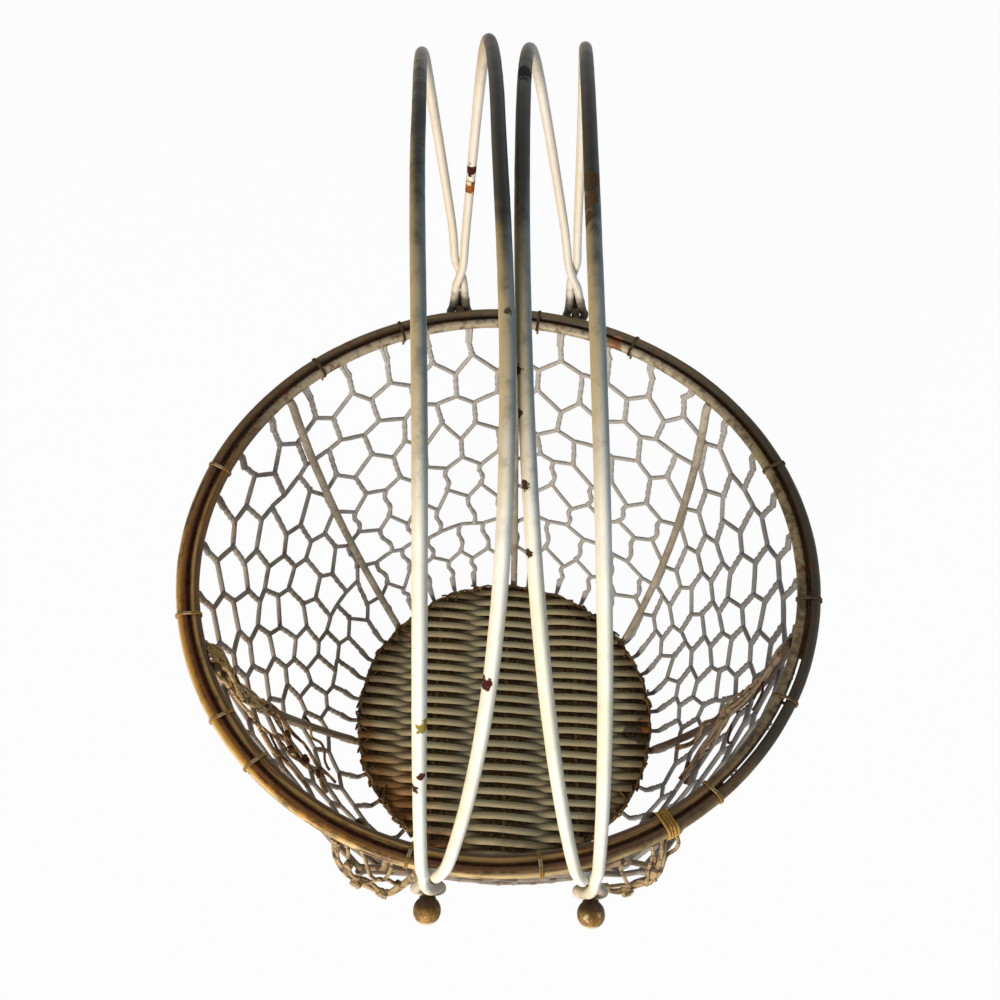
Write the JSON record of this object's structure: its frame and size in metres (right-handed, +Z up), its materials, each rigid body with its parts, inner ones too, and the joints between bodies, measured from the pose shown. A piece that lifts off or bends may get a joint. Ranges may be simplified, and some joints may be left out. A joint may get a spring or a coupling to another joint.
{
  "type": "wire egg basket",
  "caption": "Round wire egg basket with a double rim ring, bent ribs, hexagonal wire netting, a woven bottom and two swing handles on ball-ended studs.",
  "frame": {"origin": "on the floor, under the middle of the rim and of the box round the part at rest", "axes": "+Z up, -Y towards the front pair of studs, +X to the right seen from the front"},
  "size_m": [0.305, 0.3386, 0.4722],
  "materials": {
    "rim_paint": "worn brown-gold paint over steel",
    "rib_paint": "old cream paint",
    "bare_wire": "dull, rusty",
    "netting": "weathered zinc",
    "wicker": "weathered reed",
    "ball_metal": "dull",
    "handle_paint": "cream paint, chipped"
  },
  "bodies": {
    "basket": {"outer_rim_ring": "rim_paint", "inner_rim_ring": "rim_paint", "base_hoop": "rib_paint", "woven_base": "wicker", "rib_back_right": "rib_paint", "rib_back": "rib_paint", "rib_back_left": "rib_paint", "rib_left": "rib_paint", "rib_front_left": "rib_paint", "rib_front_right": "rib_paint", "rib_right": "rib_paint", "net_back_right": "netting", "net_back_left": "netting", "net_left": "netting", "net_front_left": "netting", "net_front": "netting", "net_front_right": "netting", "net_right": "netting", "rim_tie_01": "bare_wire", "rim_tie_02": "bare_wire", "rim_tie_03": "bare_wire", "rim_tie_04": "bare_wire", "rim_tie_05": "bare_wire", "rim_tie_06": "bare_wire", "rim_tie_07": "bare_wire", "rim_tie_08": "bare_wire", "rim_tie_09": "bare_wire", "rim_tie_10": "bare_wire", "rim_tie_11": "bare_wire", "rim_tie_12": "bare_wire", "rim_tie_13": "bare_wire", "rim_tie_14": "bare_wire", "pin_front_left": "bare_wire", "pin_front_right": "bare_wire", "pin_back_left": "bare_wire", "pin_back_right": "bare_wire", "ball_front_left": "ball_metal", "ball_front_right": "ball_metal", "ball_back_left": "ball_metal", "ball_back_right": "ball_metal"},
    "left_handle": {"left_handle_outer_wire": "handle_paint", "left_handle_inner_wire": "handle_paint"},
    "right_handle": {"right_handle_outer_wire": "handle_paint", "right_handle_inner_wire": "handle_paint"}
  },
  "joints": [
    {"name": "left_handle_swing", "type": "hinge", "parent": "basket", "child": "left_handle", "pos_m": [-0.0255, 0, 0.2299], "axis": [0, -1, 0], "range_deg": [0, 150]},
    {"name": "right_handle_swing", "type": "hinge", "parent": "basket", "child": "right_handle", "pos_m": [0.0399, 0, 0.2299], "axis": [0, 1, 0], "range_deg": [0, 150]}
  ]
}
